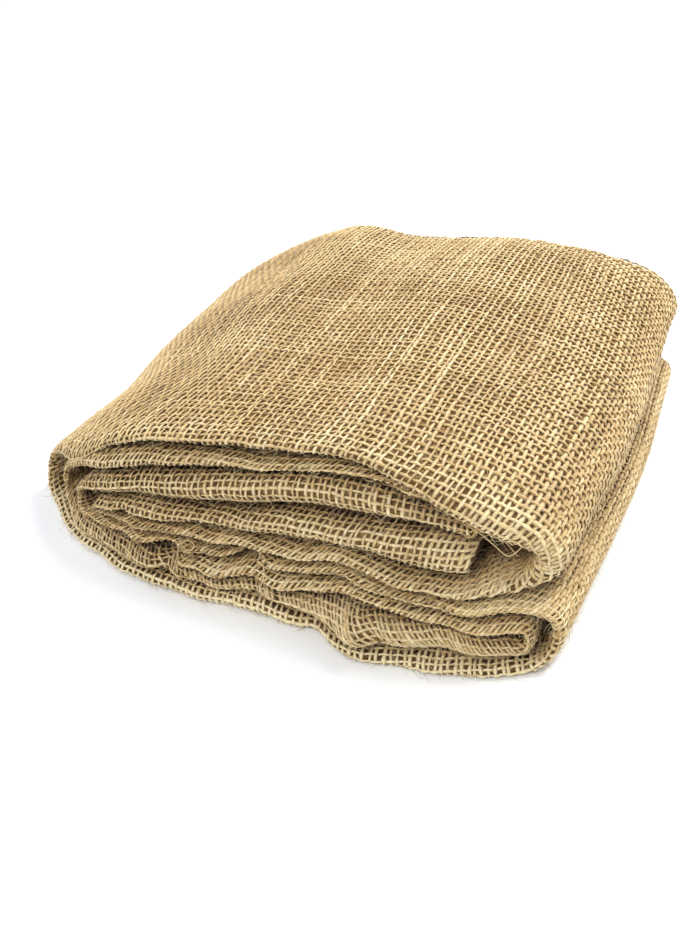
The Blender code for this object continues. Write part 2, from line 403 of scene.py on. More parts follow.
# Raw jute in the depth of the weave, with painted shade: near black in the crevices, dark near
# the front fold and at the left end, a lighter brown elsewhere. Its blotches are about 2 mm, half a
# yarn's pitch
def hessianGround():
    material, tree, shader = newMaterial("unbleached hessian, inner layer with painted shade")
    place = addNode(tree, "ShaderNodeUVMap", {"uv_map": "cloth"})
    paintedShade = addNode(tree, "ShaderNodeAttribute", {"attribute_name": "paintedShade"})
    weave = addNode(tree, "ShaderNodeTexChecker", {"Scale": 1.0}, {"Vector": place.outputs["UV"]})
    inner = addNode(
        tree, "ShaderNodeTexNoise", {"Scale": 1.7, "Detail": 3.0}, {"Vector": place.outputs["UV"]}
    )
    layer = addNode(tree, "ShaderNodeValToRGB", {}, {"Fac": inner.outputs["Fac"]})
    setRamp(layer, ((0.35, "#5A4120"), (0.7, "#A07F4C")))
    # painted shade colours, for the crevices and the inside of the fold
    deep = addNode(tree, "ShaderNodeValToRGB", {}, {"Fac": inner.outputs["Fac"]})
    setRamp(deep, ((0.35, "#241607"), (0.75, "#4E371A")))
    both = addNode(
        tree,
        "ShaderNodeMix",
        {"data_type": "RGBA"},
        {"0": paintedShade.outputs["Fac"], "6": layer.outputs["Color"], "7": deep.outputs["Color"]},
    )
    # the inside of the fold shows at the back: its yarns are drawn, one wave to a yarn's pitch, the
    # holes between them painted dark as shade, and further in it goes over to painted shade
    uprights, levelYarns = (
        addNode(
            tree,
            "ShaderNodeTexWave",
            {"bands_direction": way, "Scale": 2 * math.pi / 20},
            {"Vector": place.outputs["UV"]},
        )
        for way in "XY"
    )
    beside = addNode(
        tree,
        "ShaderNodeMath",
        {"operation": "SUBTRACT", "0": 1.0},
        {"1": uprights.outputs["Fac"]},
    )
    hole = addNode(
        tree,
        "ShaderNodeMath",
        {"operation": "MULTIPLY"},
        {"0": beside.outputs["Value"], "1": levelYarns.outputs["Fac"]},
    )
    drawn = addNode(tree, "ShaderNodeValToRGB", {}, {"Fac": hole.outputs["Value"]})
    setRamp(drawn, ((0.22, "#957A4B"), (0.52, "#33230F")))
    inside = addNode(
        tree,
        "ShaderNodeMix",
        {"data_type": "RGBA"},
        {"0": paintedShade.outputs["Fac"], "6": drawn.outputs["Color"], "7": deep.outputs["Color"]},
    )
    bare = addNode(tree, "ShaderNodeAttribute", {"attribute_name": "bare"})
    cover = addNode(
        tree,
        "ShaderNodeMix",
        {"data_type": "RGBA"},
        {"0": bare.outputs["Fac"], "6": both.outputs[2], "7": inside.outputs[2]},
    )
    lift = addNode(
        tree,
        "ShaderNodeBump",
        {"Strength": 0.6, "Distance": 0.4 * mm},
        {"Height": weave.outputs["Fac"]},
    )
    tree.links.new(cover.outputs[2], shader.inputs["Base Color"])
    tree.links.new(lift.outputs["Normal"], shader.inputs["Normal"])
    shader.inputs["Roughness"].default_value = 0.95
    return material


# The sheet under the yarns: the same folds with fewer faces, closed in by a little under a yarn. It
# stands for the inner layers seen through the holes, and its colour carries painted shade
sheet = {
    "outerDepth": 0.62,  # below the middle of the yarns
    "innerDepth": 1.05,
    "front": (0, 1.5, 3, 4.5, 6, 8, 10.5, 14, 18, 23),
    "rows": (0.06, 0.13, 0.21, 0.3, 0.4, 0.5, 0.6, 0.7, 0.8, 0.9, 1.0),
    "everyRing": 4,
    "paintedShadeReach": 26.0,  # painted shade on the sheet: how far it reaches from the front fold, in mm, and next how dark it is there
    "paintedShadeAtFold": 0.35,
    "paintedShadeAtLeft": 0.30,  # how much more painted shade at the left end, coming on over so many mm
    "paintedShadeOver": 90,
    # painted shade on the inside of the fold: how dark it is at the back edges, over how many mm it
    # deepens, and by how much
    "insideShade": (0.08, 28, 0.75),
    "flat": (0.585, 2.27),
}


def sheetColumns(cloth, keep):
    front = np.array(sheet["front"], float)
    reach = cloth["reach"][keep][:, None]
    flats = front[-1] + (reach - front[-1]) * np.array(sheet["rows"])
    upper = np.concatenate((np.broadcast_to(front, (len(reach), len(front))), flats), axis=1)
    return np.concatenate((-upper[:, :0:-1], upper), axis=1)


def makeSheet(cloth, spans):
    rings = len(cloth["reach"])
    keep = np.zeros(rings, bool)
    keep[:: sheet["everyRing"]] = True
    for start, stop in spans:
        keep[[start, stop - 1]] = True
    keep[: len(freeEnds["angles"]) + 1] = True
    keep[-len(freeEnds["angles"]) - 1 :] = True
    b = sheetColumns(cloth, keep)
    r = np.flatnonzero(keep)[:, None] + np.zeros_like(b)
    points, normals = placesOn(cloth, r, b)
    outer = points - normals * sheet["outerDepth"]
    inner = points - normals * sheet["innerDepth"]
    for wall in (outer, inner):
        wall[..., 2] = np.maximum(wall[..., 2], 0.1)
    loop = np.concatenate((outer, inner[:, ::-1]), axis=1)
    count, size = loop.shape[:2]  # rings, and places round one
    wall = size // 2
    index = np.arange(count * size).reshape(count, size)
    beside = np.roll(index, -1, axis=1)
    quads = np.stack((index[:-1], index[1:], beside[1:], beside[:-1]), axis=-1)
    faces = quads.reshape(-1, 4).tolist()
    for ring, turned in ((index[0], True), (index[-1], False)):
        for k in range(wall - 1):
            cap = [ring[k], ring[size - 1 - k], ring[size - 2 - k], ring[k + 1]]
            faces.append([int(i) for i in (cap[::-1] if turned else cap)])
    piece = joinedMesh("jute_sheet", (loop.reshape(-1, 3) * mm).tolist(), faces, hessianGround())
    u = bilinear(cloth["count"], r, columnOf(b)) / net["pitchAlong"]
    v = b / net["pitchAcross"]
    uv = np.stack((u, v), axis=-1)
    uv = np.concatenate((uv, uv[:, ::-1]), axis=1).reshape(-1, 2)
    corners = np.empty(len(piece.data.loops), np.int32)
    piece.data.loops.foreach_get("vertex_index", corners)
    layer = piece.data.uv_layers.new(name="cloth")
    layer.data.foreach_set("uv", uv[corners].astype(np.float32).ravel())
    return piece, r, b


# Painted shade: darker near the front fold and at the left end, darkest in the crevices where little
# light reaches, and deepening inside from the back edges
def shadeSheet(piece, cloth, r, b, view):
    x = bilinear(cloth["points"], r, columnOf(b))[..., 0]
    paintedShade = sheet["paintedShadeAtFold"] * np.exp(-((b / sheet["paintedShadeReach"]) ** 2))
    paintedShade += sheet["paintedShadeAtLeft"] * eased(-x / sheet["paintedShadeOver"])
    paintedShade = np.clip(paintedShade + 1 - litShare(view, r, b), 0, 1)
    reach = np.interp(r, np.arange(len(cloth["reach"])), cloth["reach"])
    fromBack, overDepth, deepest = sheet["insideShade"]
    inside = fromBack + deepest * (1 - np.exp(-np.maximum(reach - np.abs(b), 0) / overDepth))
    bare = ~lookUp(view, r, b)
    for name, outer, inner in (("paintedShade", paintedShade, inside), ("bare", bare, np.ones_like(b))):
        values = np.concatenate((outer, inner[:, ::-1]), axis=1).ravel().astype(np.float32)
        layer = piece.data.attributes.new(name, "FLOAT", "POINT")
        layer.data.foreach_set("value", values)


# The yarns, in mm. Those along the strip run left and right, those across it run front to back
net = {
    "pitchAlong": 3.4,  # between the yarns that run front to back
    "pitchAcross": 4.1,
    # half width, half thickness, how far a yarn rises over the next and dips under it, and its lift
    "across": (0.86, 0.54, 0.36, 0.06),
    "along": (0.83, 0.50, 0.46, -0.04),
    # x, over how many mm and how far the yarns that run front to back stand out there
    "raisedAtLeft": (-30, 80, 0.22),
    "bottom": (13, 0.42, 0.15),  # up to this height the cloth on the floor is painted lighter, as light off the floor would make it, and its yarns are closer
    # painted shade: from this x on, over so many mm, the tone drops by so much, at the right, then at
    # the left
    "paintedShadeAtEnds": (105, 25, 0.08, -60, 80, 0.10),
    "paintedLightOnFold": 0.09,  # the fold along the front, and more so the rim of the upper roll
    "paintedLightOnRim": 0.12,
    "raisedAtRight": (70, 40, 0.24),  # the same for the yarns that run left and right
    "thickerAtRight": (60, 40, 0.12),  # from this x on, over so many mm, the yarns are wider
    "shadedSide": 0.40,  # how much darker the underside of a yarn is painted, as shade
    "shadedDip": 0.12,  # and painted shade where a yarn dips under the next
    "shadedDepth": 0.53,  # and painted shade on the cloth deep in a crevice, where little light reaches
    "fuller": 0.04,  # painted light on the fold along the front, and more on the rim of the upper roll
    "opened": 0.10,  # how much narrower the yarns are where they stretch over the front fold
    "openedReach": 24,
    "foldReach": 20,
    "inset": 0.5,  # the middle of the yarns lies this far inside the solid's face
    "pinch": 0.9,  # how much lower each wall is at the front, where the crevices open
    "sides": 4,
    "reachAcross": 300,
    "bStep": 1.0,
    "shiftOfWalls": 0.7,  # how much of the slip between the two walls the yarns take up
    "leanReach": 18.0,
    "fringe": 1.4,
    "crowded": 1.5,  # where yarns stand closer than this, in a tight turn, every other one is hidden
    "crowdedReach": 30,
    "beyond": 40,  # how far past the cloth's edges yarns are numbered, as they drift
    "twist": 0.9,  # radians for each mm of yarn: one turn in 7 mm, as spun jute has
    "fibreStretch": 0.35,  # the fibres' streaks are about three times as long as wide
    "fibreStep": 7.3,  # so that no two yarns beside each other have the same streaks
    "most": 150000,  # triangles in one piece
    "seed": 7,
}

# How uneven the yarns are: a whole yarn, places along it, and how many nodes they lie apart.
# wander and height are in mm, size and tone are shares
uneven = {
    "wander": (0.20, 0.28, 14),
    "wanderAlong": (0.22, 3),
    "heightAlong": (0.06, 2),
    "size": (0.10, 0.13, 6),
    "sizeEach": 0.10,
    "sizeLimits": (0.6, 1.6),
    "thinAndThick": 0.12,  # loose and close patches of the cloth, 60 to 150 mm long
    "tone": (0.07, 0.05, 6),
    "toneMiddle": 0.63,
    "toneOnTop": 0.06,  # less on the top, which the lamps reach best
}

# How far the yarns that run left and right bend to the front, in mm for each mm of x, on the top
topSkew = {
    "x": (-150, -90, -30, 0, 30, 60, 85, 105, 130),
    "slope": (-0.10, -0.10, 0.08, 0.15, 0.05, -0.08, 0.0, 0.12, 0.65),
}

# The cloth isn't folded quite along its yarns, so they drift over the fold: mm, mm per radian
# and a start
drift = ((7.0, 90.0, 1.0), (2.5, 33.0, 0.3))


def bilinear(grid, r, c):
    r = np.clip(r, 0, grid.shape[0] - 1.001)
    c = np.clip(c, 0, grid.shape[1] - 1.001)
    i, j = r.astype(int), c.astype(int)
    fr, fc = r - i, c - j
    if grid.ndim == 3:
        fr, fc = fr[..., None], fc[..., None]
    low = grid[i, j] * (1 - fc) + grid[i, j + 1] * fc
    high = grid[i + 1, j] * (1 - fc) + grid[i + 1, j + 1] * fc
    return low * (1 - fr) + high * fr


# The grid's column at b, which is mm from the front fold, below 0 on one wall
def columnOf(b):
    return (b + net["reachAcross"]) / net["bStep"]


def ofLengthOne(vectors):
    return vectors / np.maximum(np.linalg.norm(vectors, axis=-1, keepdims=True), 1e-6)


def placesOn(cloth, r, b):
    column = columnOf(b)
    return bilinear(cloth["points"], r, column), ofLengthOne(bilinear(cloth["normals"], r, column))


# The cloth's outer face as a fine grid, with the way from yarn numbers to places on it
def makeCloth(route, spans):
    b = np.arange(-net["reachAcross"], net["reachAcross"] + net["bStep"], net["bStep"])
    inset = net["inset"]
    half = np.maximum(route["half"], 0.3 + inset) - inset
    nose = np.maximum(route["nose"] - inset, 1)
    front = frontOf(route)
    tip = front + route["nose"]
    steps = np.linspace(0, np.pi / 2, 15)
    yEdge = -nose[:, None] * np.cos(steps)
    aEdge = half[:, None] * np.sin(steps)
    arc = np.hypot(np.diff(yEdge, axis=1), np.diff(aEdge, axis=1)).cumsum(axis=1)
    arc = np.concatenate((np.zeros((len(arc), 1)), arc), axis=1)
    turned = np.array([np.interp(np.abs(b), row, steps) for row in arc])
    y = tip[:, None] - nose[:, None] * np.cos(turned) + np.maximum(np.abs(b) - arc[:, -1:], 0)
    pinch = np.minimum(net["pinch"] / half, 0.36)[:, None]
    pinched = 1 - pinch * np.exp(-((np.maximum(np.abs(b) - arc[:, -1:], 0) / 15) ** 2))
    across = np.sign(b) * half[:, None] * np.sin(turned) * pinched
    points = sectionPoints(route, y, across)
    reach = arc[:, -1] + strip["backEdge"] + route["back"] - tip
    line = np.stack((route["x"], route["z"]), axis=-1)
    middle = np.concatenate(([0], np.cumsum(np.linalg.norm(np.diff(line, axis=0), axis=1))))

    angle = np.radians(route["angle"])[:, None]
    side = np.sign(b) * np.sin(turned)
    out = np.stack((np.cos(angle) * side, -np.cos(turned), np.sin(angle) * side), axis=-1)
    points = crumpled(points, middle, b, out, spans, route["waver"])
    along = np.gradient(points, axis=0)
    down = np.gradient(points, axis=1)
    normals = np.cross(along, down)
    length = np.linalg.norm(normals, axis=-1, keepdims=True)
    normals = np.where(length > 1e-6, normals / np.maximum(length, 1e-9), out)
    normals *= np.where((normals * out).sum(-1, keepdims=True) < 0, -1, 1)

    # How far along its length the cloth is at each place, so that its yarns stay evenly spaced
    normal = np.stack((np.cos(angle[:, 0]), np.sin(angle[:, 0])), axis=-1)
    centres = [(start + stop) // 2 for start, stop in spans]
    step = np.diff(middle, prepend=0)
    cut = np.cumsum(step * route["bunched"])
    count = np.broadcast_to(cut[:, None], turned.shape).copy()
    for sign in (1, -1):
        wall = line + sign * route["half"][:, None] * normal
        length = np.concatenate(([0], np.cumsum(np.linalg.norm(np.diff(wall, axis=0), axis=1))))
        slip = length - middle
        slip = slip - np.interp(middle, middle[centres], slip[centres])
        rows = np.sign(b) == sign
        weight = net["shiftOfWalls"] * np.tanh(np.abs(b[rows]) / 10)
        count[:, rows] += slip[:, None] * weight
    count = np.maximum.accumulate(count + np.arange(len(count))[:, None] * 1e-4, axis=0)

    # The yarns that run left and right bend with x on the top, and a little elsewhere
    slope = smoothThrough(topSkew["x"], topSkew["slope"], np.clip(route["x"], -150, 130))
    heading = np.sin(np.radians(route["angle"]))
    share = np.zeros(len(slope))
    start, stop = spans[topPass]
    share[start - strip["stepsInTurn"] // 2 : stop + strip["stepsInTurn"] // 2] = 1
    rings = np.arange(len(middle))
    fade = 40  # rings over which the bend of the top fades out beyond it
    moved = np.concatenate(([0], np.cumsum(np.diff(middle) * (slope * share)[1:])))
    moved -= moved[(start + stop) // 2]
    moved *= eased((rings - start + fade) / fade) * eased((stop + fade - rings) / fade)
    for far, length, start in drift:
        moved += far * np.sin(middle / length + start)
    places = np.arange(0, cut[-1], 1.0)
    inverse = np.array([np.interp(places, count[:, k], rings) for k in range(len(b))]).T
    return {
        "points": points,
        "normals": normals,
        "reach": reach,
        "inverse": inverse,
        "count": count,
        "length": cut[-1],
        "moved": moved,
        "lean": route["lean"] * heading,
        "b": b,
    }


# Where on the grid the yarns numbered u and v, in mm of cloth, lie
def placeYarns(cloth, u, v):
    b = v.copy()
    r = bilinear(cloth["inverse"], u, columnOf(b))
    rings = np.arange(len(cloth["moved"]))
    for _ in range(3):
        b = v - np.interp(r, rings, cloth["moved"])
        lean = np.interp(r, rings, cloth["lean"]) * net["leanReach"] * np.tanh(b / net["leanReach"])
        r = bilinear(cloth["inverse"], u + lean, columnOf(b))
    return r, b


# How the stack is looked at from each place on it
openness = {
    "ringStep": 3,
    "bStep": 4,
    "tilts": (13, 34, 58),  # the ways looked, in degrees above level, and straight up
    "turnStep": 30,
    "above": 1.3,  # mm off the cloth, so that the look doesn't start inside a fold
    "far": 0.5,  # m
    "full": 0.95,  # a place this open counts as fully lit
}


# Which parts of the cloth can be seen from outside, and how open to the light each is
def openToView(cloth, tree):
    ringStep, bStep = openness["ringStep"], openness["bStep"]
    points = cloth["points"][::ringStep, ::bStep] * mm
    normals = cloth["normals"][::ringStep, ::bStep]
    b = cloth["b"][::bStep]
    reach = cloth["reach"][::ringStep]
    light = np.zeros(points.shape[:2])
    ways = [Vector((0, 0, 1))]
    for tilt in openness["tilts"]:
        level, rise = math.cos(math.radians(tilt)), math.sin(math.radians(tilt))
        for turn in range(0, 360, openness["turnStep"]):
            turned = math.radians(turn)
            ways.append(Vector((level * math.sin(turned), -level * math.cos(turned), rise)))
    for i in range(points.shape[0]):
        for j in range(points.shape[1]):
            if abs(b[j]) > reach[i] + 2:
                continue
            normal = Vector(normals[i, j])
            start = Vector(points[i, j]) + normal * openness["above"] * mm
            whole = 0.0
            for way in ways:
                facing = way.dot(normal)
                if facing > 0.1:
                    whole += facing
                    if tree.ray_cast(start, way, openness["far"])[0] is None:
                        light[i, j] += facing
            light[i, j] /= max(whole, 0.1)
    seen = light > 0
    wide = seen.copy()
    wide[1:] |= seen[:-1]
    wide[:-1] |= seen[1:]
    grown = wide.copy()
    grown[:, 1:] |= wide[:, :-1]
    grown[:, :-1] |= wide[:, 1:]
    for _ in range(2):
        light[1:-1] = (light[:-2] + 2 * light[1:-1] + light[2:]) / 4
    return {"seen": grown, "light": light}


def lookUp(view, r, b):
    i = np.clip(np.round(r / openness["ringStep"]).astype(int), 0, view["seen"].shape[0] - 1)
    j = np.round(columnOf(b) / openness["bStep"]).astype(int)
    return view["seen"][i, np.clip(j, 0, view["seen"].shape[1] - 1)]


# 0 deep in a crevice, 1 in the open
def litShare(view, r, b):
    light = bilinear(view["light"], r / openness["ringStep"], columnOf(b) / openness["bStep"])
    return eased(light / openness["full"])


# Soft random values along each yarn, with a new one every so many nodes
def slowNoise(random, shape, length):
    knots = random.standard_normal((shape[0], shape[1] // length + 3))
    at = np.arange(shape[1]) / length
    i = at.astype(int)
    t = eased(at - i)
    return knots[:, i] * (1 - t) + knots[:, i + 1] * t


def unevenBy(random, shape, spread):
    whole, along, nodes = spread
    return whole * random.standard_normal((shape[0], 1)) + along * slowNoise(random, shape, nodes)


# Nodes of the yarns that run along the strip, or across it, two to a crossing, in mm of cloth
def yarnNodes(cloth, run):
    past = int((net["reachAcross"] + net["beyond"]) / net["pitchAcross"])
    length = cloth["length"] / net["pitchAlong"]
    if run == "across":
        u = np.arange(int(length)) + 0.5
        v = np.arange(-2 * past, 2 * past + 1) / 2
        u, v = np.meshgrid(u, v, indexing="ij")
    else:
        u = np.arange(int(2 * length) + 1) / 2
        v = np.arange(-past, past + 1)
        v, u = np.meshgrid(v, u, indexing="ij")
    return u * net["pitchAlong"], v * net["pitchAcross"]


def yarnSet(cloth, view, random, run):
    u, v = yarnNodes(cloth, run)
    sign = 1 if run == "across" else -1
    phase = np.cos(np.pi * ((u / net["pitchAlong"] - 0.5) + v / net["pitchAcross"]))
    halfWidth, halfThickness, crimp, lift = net[run]
    wander = unevenBy(random, u.shape, uneven["wander"])
    far, nodes = uneven["wanderAlong"]
    wander += far * slowNoise(random, u.shape, nodes)
    if run == "across":
        u = u + wander
    else:
        v = v + wander
    r, b = placeYarns(cloth, u, v)
    points, normals = placesOn(cloth, r, b)
    far, nodes = uneven["heightAlong"]
    height = sign * crimp * phase + lift + far * slowNoise(random, u.shape, nodes)
    points = points + normals * height[..., None]
    reach = np.interp(r, np.arange(len(cloth["reach"])), cloth["reach"])
    active = lookUp(view, r, b) & (np.abs(b) < reach + net["fringe"])
    active &= (u > 1) & (u < cloth["length"] - 1)
    if run == "across":
        apart = np.linalg.norm(np.diff(points, axis=0, append=points[-1:] + 9), axis=-1)
        active[1::2] &= (apart[1::2] > net["crowded"]) | (np.abs(b[1::2]) > net["crowdedReach"])

    x = points[..., 0] + strip["middle"][0]
    z = points[..., 2]
    clearOfBase = eased((z - 20) / 20)
    firstX, overX, raised = net["raisedAtLeft"]
    raised = raised * eased((firstX - x) / overX) * eased((z - 35) / 20)
    firstX, overX, raisedRight = net["raisedAtRight"]
    atRight = eased((x - firstX) / overX) * clearOfBase
    points = points + normals * (sign * (raised - raisedRight * atRight))[..., None]
    upTo, lighter, closer = net["bottom"]
    atFloor = 1 - eased(z / upTo)

    size = 1 + unevenBy(random, u.shape, uneven["size"])
    size += uneven["thinAndThick"] * np.sin(u / 23 + v / 31) * np.sin(v / 19 - u / 47 + 1)
    size += net["fuller"] - net["opened"] * np.exp(-((b / net["openedReach"]) ** 2))
    firstX, overX, wider = net["thickerAtRight"]
    size += wider * eased((x - firstX) / overX) * clearOfBase + closer * atFloor
    size = np.clip(size, *uneven["sizeLimits"])
    size *= 1 + uneven["sizeEach"] * random.standard_normal(u.shape)

    tone = unevenBy(random, u.shape, uneven["tone"])
    tone += uneven["toneMiddle"] - uneven["toneOnTop"] * eased((z - 35) / 35)
    # painted shade where a yarn dips under the next
    tone += net["shadedDip"] * sign * phase
    # painted shade deep in the crevices, where little light reaches
    tone -= net["shadedDepth"] * (1 - litShare(view, r, b))
    # painted light along the front fold, and more on the rim of the upper roll
    fold = np.exp(-((b / net["foldReach"]) ** 2))
    # painted light on the cloth near the floor
    tone += lighter * atFloor + fold * (net["paintedLightOnFold"] + net["paintedLightOnRim"] * atRight)
    # painted shade at the right and left ends
    rightX, overRight, atRightEnd, leftX, overLeft, atLeftEnd = net["paintedShadeAtEnds"]
    tone -= atRightEnd * eased((x - rightX) / overRight) + atLeftEnd * eased((leftX - x) / overLeft)
    return {
        "points": points,
        "normals": normals,
        "active": active,
        "tone": tone,
        "b": b,
        "width": size * halfWidth,
        "thickness": np.sqrt(size) * halfThickness,
    }


# A single node makes no yarn, so it is dropped
def cleanRuns(active):
    joined = np.zeros_like(active)
    pair = active[:, 1:] & active[:, :-1]
    joined[:, 1:] |= pair
    joined[:, :-1] |= pair
    return joined


# tone is how light each place is, with the painted shade and light worked into it, and fibre where it
# is in the pattern of the streaks
def paintYarns(piece, tone, fibre):
    for name, kind, key, values in (
        ("tone", "FLOAT", "value", tone),
        ("fibre", "FLOAT_VECTOR", "vector", fibre),
    ):
        layer = piece.data.attributes.new(name, kind, "POINT")
        layer.data.foreach_set(key, np.asarray(values, np.float32).ravel())


# Corners round the middle line of a tube, from its two half widths, and the faces between rings
def cornersRound(centre, side, over, count):
    turns = (2 * np.pi * np.arange(count) / count)[:, None]
    corners = centre[..., None, :] + side[..., None, :] * np.cos(turns)
    return corners + over[..., None, :] * np.sin(turns)


def facesBetween(near, far):
    quads = (near, np.roll(near, -1, axis=-1), np.roll(far, -1, axis=-1), far)
    return np.stack(quads, axis=-1).reshape(-1, 4).tolist()


def tubeMesh(name, yarns, rows, material):
    points, normals = yarns["points"][rows], yarns["normals"][rows]
    active = cleanRuns(yarns["active"][rows])
    ahead = ofLengthOne(np.gradient(points, axis=1))
    side = ofLengthOne(np.cross(normals, ahead))
    up = np.cross(ahead, side)
    count = net["sides"]
    index = np.full(active.shape, -1)
    index[active] = np.arange(active.sum()) * count
    steps = np.linalg.norm(np.diff(points, axis=1, prepend=points[:, :1]), axis=-1)
    run = np.cumsum(steps, axis=1)[active]
    wide = side[active] * yarns["width"][rows][active][:, None]
    thick = up[active] * yarns["thickness"][rows][active][:, None]
    corners = cornersRound(points[active], wide, thick, count).reshape(-1, 3)
    corners[:, 2] = np.maximum(corners[:, 2], 0.05)
    twist = 2 * np.pi * np.arange(count) / count + run[:, None] * net["twist"]
    streak = run * net["fibreStretch"] + np.nonzero(active)[0] * net["fibreStep"]
    streak = np.broadcast_to(streak[:, None], twist.shape)
    fibre = np.stack((np.cos(twist), np.sin(twist), streak), axis=-1)
    pairs = active[:, 1:] & active[:, :-1]
    a = index[:, :-1][pairs][:, None] + np.arange(count)
    c = index[:, 1:][pairs][:, None] + np.arange(count)
    faces = facesBetween(a, c)
    padded = np.pad(active, ((0, 0), (1, 1)))
    starts = index[active & ~padded[:, :-2]]
    stops = index[active & ~padded[:, 2:]]
    faces += [[int(i) + k for k in reversed(range(count))] for i in starts]
    faces += [[int(i) + k for k in range(count)] for i in stops]
    piece = joinedMesh(name, (corners * mm).tolist(), faces, material)
    # painted shade: the underside of each yarn, towards the cloth, is darker
    below = net["shadedSide"] * (1 - np.sin(2 * np.pi * np.arange(count) / count)) / 2
    paintYarns(piece, yarns["tone"][rows][active][:, None] - below, fibre)
    triangles = 2 * count * int(pairs.sum()) + (count - 2) * (len(starts) + len(stops))
    return piece, triangles


# Raw jute yarn: dull straw, hairy and twisted, each yarn a little lighter or browner than the
# next. Its streaks are 0.6 mm wide, coarser than real fibres, which would not show, and its
# clouds about 70 mm
# the tone it reads carries painted shade and painted light as well as the yarns' own tone
def juteYarn():
    material, tree, shader = newMaterial("natural jute yarn, spun and unbleached")
    tone = addNode(tree, "ShaderNodeAttribute", {"attribute_name": "tone"})
    fibre = addNode(tree, "ShaderNodeAttribute", {"attribute_name": "fibre"})
    streak = addNode(
        tree,
        "ShaderNodeTexNoise",
        {"Scale": 1.6, "Detail": 4.0, "Roughness": 0.65},
        {"Vector": fibre.outputs["Vector"]},
    )
    whole = addNode(tree, "ShaderNodeTexCoord")
    cloud = addNode(
        tree,
        "ShaderNodeTexNoise",
        {"Scale": 14.0, "Detail": 2.0},
        {"Vector": whole.outputs["Object"]},
    )
    total = tone.outputs["Fac"]
    for noise, share in ((streak, 1.3), (cloud, 0.4)):
        added = addNode(
            tree,
            "ShaderNodeMath",
            {"operation": "MULTIPLY_ADD", "1": share},
            {"0": noise.outputs["Fac"], "2": total},
        )
        total = added.outputs["Value"]
    # less what the two patterns add on the average
    centred = addNode(tree, "ShaderNodeMath", {"operation": "SUBTRACT", "1": 0.85}, {"0": total})
    ramp = addNode(tree, "ShaderNodeValToRGB", {}, {"Fac": centred.outputs["Value"]})
    brownToStraw = ((0.0, "#5C411D"), (0.22, "#92713C"), (0.5, "#C1A36B"), (0.85, "#DFCEA1"))
    setRamp(ramp, (*brownToStraw, (1.0, "#E9D9AE")))
    lift = addNode(
        tree,
        "ShaderNodeBump",
        {"Strength": 0.9, "Distance": 0.3 * mm},
        {"Height": streak.outputs["Fac"]},
    )
    tree.links.new(ramp.outputs["Color"], shader.inputs["Base Color"])
    tree.links.new(lift.outputs["Normal"], shader.inputs["Normal"])
    shader.inputs["Roughness"].default_value = 0.85
    shader.inputs["Sheen Weight"].default_value = 0.25
    shader.inputs["Sheen Roughness"].default_value = 0.6
    return material


def makeNet(cloth, view, material):
    random = np.random.default_rng(net["seed"])
    pieces = []
    roots = []
    total = 0
    for run in ("across", "along"):
        yarns = yarnSet(cloth, view, random, run)
        perYarn = yarns["active"].sum(axis=1) * 2 * net["sides"]
        bounds = [0]
        amount = 0
        for i, value in enumerate(perYarn):
            if amount + value > net["most"]:
                bounds.append(i)
                amount = 0
            amount += value
        bounds.append(len(perYarn))
        for i in range(len(bounds) - 1):
            name = f"yarns_{run}_{i + 1}"
            piece, triangles = tubeMesh(name, yarns, slice(bounds[i], bounds[i + 1]), material)
            pieces.append(piece)
            total += triangles
            print(name, triangles, "triangles")
        front = yarns["active"] & (np.abs(yarns["b"]) < fuzz["frontReach"])
        ahead = np.gradient(yarns["points"], axis=1)
        for mask, share in ((front, fuzz["front"]), (yarns["active"] & ~front, fuzz["elsewhere"])):
            chosen = random.choice(np.flatnonzero(mask.ravel()), share, replace=False)
            roots.append([yarns[key].reshape(-1, 3)[chosen] for key in ("points", "normals")])
            roots[-1].append(ahead.reshape(-1, 3)[chosen])
    print("yarn triangles in all", total)
    return pieces, [np.concatenate(parts) for parts in zip(*roots)]


# Loose fibres that stand out of the yarns, most of them at the front folds
fuzz = {
    "front": 3600,  # from each of the two sets of yarns
    "elsewhere": 1300,
    "frontReach": 26.0,
    "radius": 0.13,  # a real fibre is half as thick and would not show
    "steps": 4,
    "length": (3.0, 10.0),
    "rise": (0.05, 0.9),  # how steeply a fibre leaves its yarn, as shares of its length
    "spread": 0.6,
    "bend": 0.9,
    "droop": (-0.3, 0.9),
    "curl": 0.1,
    "taper": 0.65,
    "tone": (0.68, 0.12),
    "offYarn": 0.25,  # mm from the middle of the yarn to a fibre's root
    "leastHeight": 0.15,
    "seed": 11,
}


